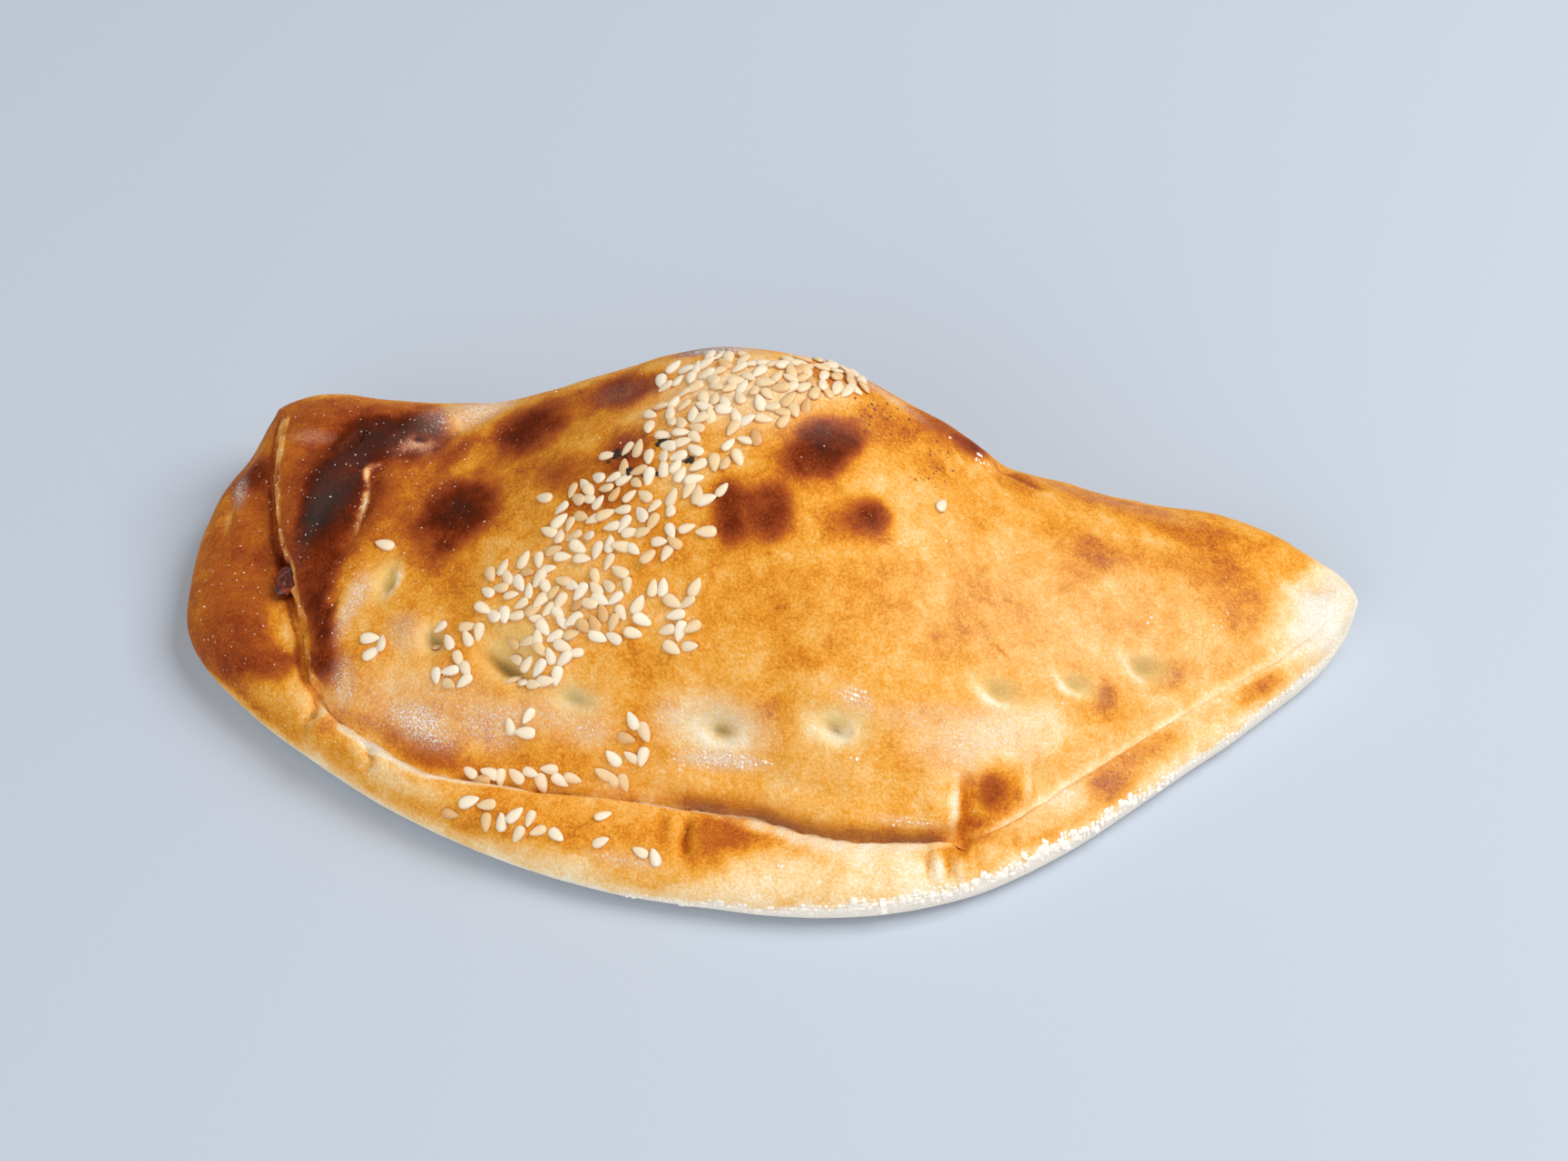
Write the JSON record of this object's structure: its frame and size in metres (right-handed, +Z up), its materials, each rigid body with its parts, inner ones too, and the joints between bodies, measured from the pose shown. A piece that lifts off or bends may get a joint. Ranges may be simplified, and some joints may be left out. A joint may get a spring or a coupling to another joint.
{
  "type": "baked samosa",
  "caption": "Large oven-baked samosa: a half-moon of folded bread dough with a rolled sealed rim, a browned blistered top strewn with sesame seeds, and meat filling at one end.",
  "frame": {"origin": "centre of the bounding box, on the flat base", "axes": "+X along the folded back edge towards the pointed tip, +Y towards the folded edge, +Z up"},
  "size_m": [0.1858, 0.0898, 0.0471],
  "materials": {
    "crust": "matt baked bread crust, golden with dark brown blisters, floury in places",
    "filling": "moist dark red-brown cooked meat"
  },
  "bodies": {
    "root": {"pastry": "crust", "filling": "filling"}
  },
  "joints": []
}
